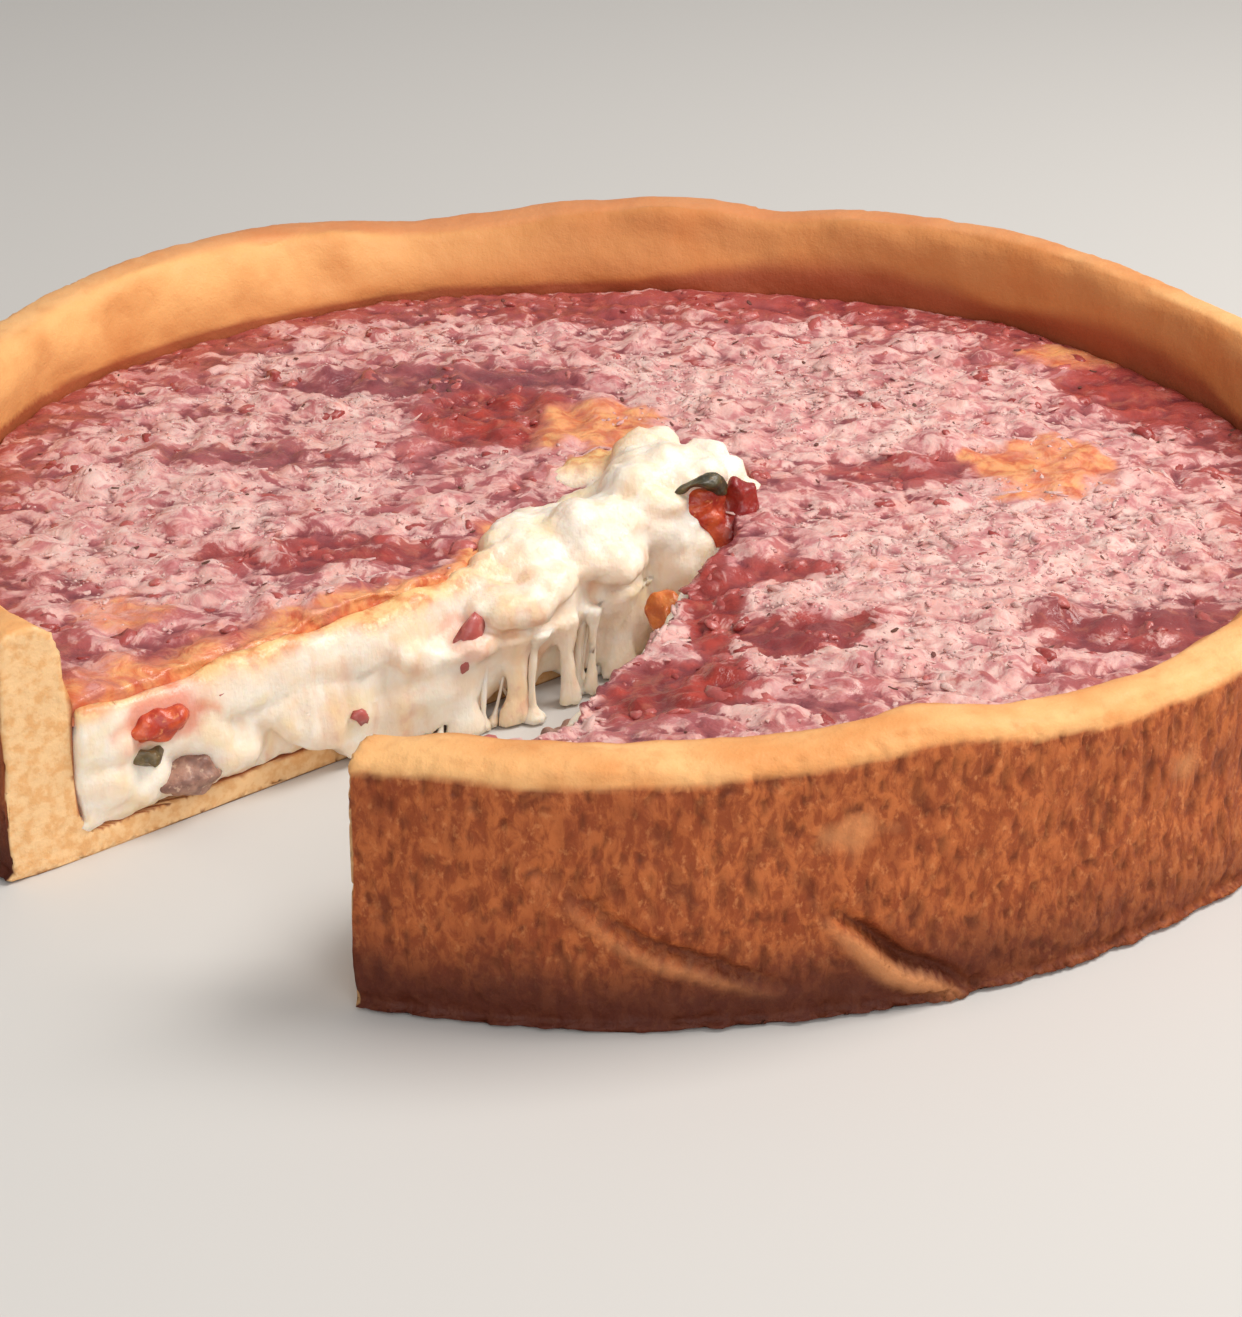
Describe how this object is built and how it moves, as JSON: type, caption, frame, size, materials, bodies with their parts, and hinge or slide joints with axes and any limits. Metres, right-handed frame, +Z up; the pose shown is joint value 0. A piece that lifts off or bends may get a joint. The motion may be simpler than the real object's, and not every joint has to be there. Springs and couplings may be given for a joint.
{
  "type": "deep dish pizza",
  "caption": "Tall round deep dish pizza on its own base, thick cheese under tomato sauce, with a slice missing and melted cheese strings in the gap",
  "frame": {"origin": "middle of the round base, on the surface the pizza stands on", "axes": "+Z up out of the pizza, the missing slice opens towards -X and -Y, its right-hand cut ends near -Y"},
  "size_m": [0.3036, 0.304, 0.0504],
  "materials": {
    "baked_crust": "baked bread crust, dry and mottled brown outside, pale gold on the rim",
    "melted_cheese": "melted mozzarella, cream white, soft and slightly glossy",
    "tomato_sauce": "crushed tomato sauce dusted with grated hard cheese, moist",
    "tomato": "cooked tomato, wet",
    "dark_pepper": "dark green pepper skin, glossy",
    "orange_pepper": "orange pepper, wet",
    "green_pepper": "cooked green pepper, wet",
    "sausage": "cooked crumbled sausage, greyish brown"
  },
  "bodies": {
    "root": {"crust": "baked_crust", "cheese": "melted_cheese", "sauce": "tomato_sauce", "tomato_chunk_tip": "tomato", "tomato_chunk_wall": "tomato", "tomato_chunk_right": "tomato", "pepper_skin_tip": "dark_pepper", "pepper_piece_tip": "orange_pepper", "pepper_piece_wall": "green_pepper", "sausage_piece_wall": "sausage", "sausage_piece_right": "sausage"}
  },
  "joints": []
}
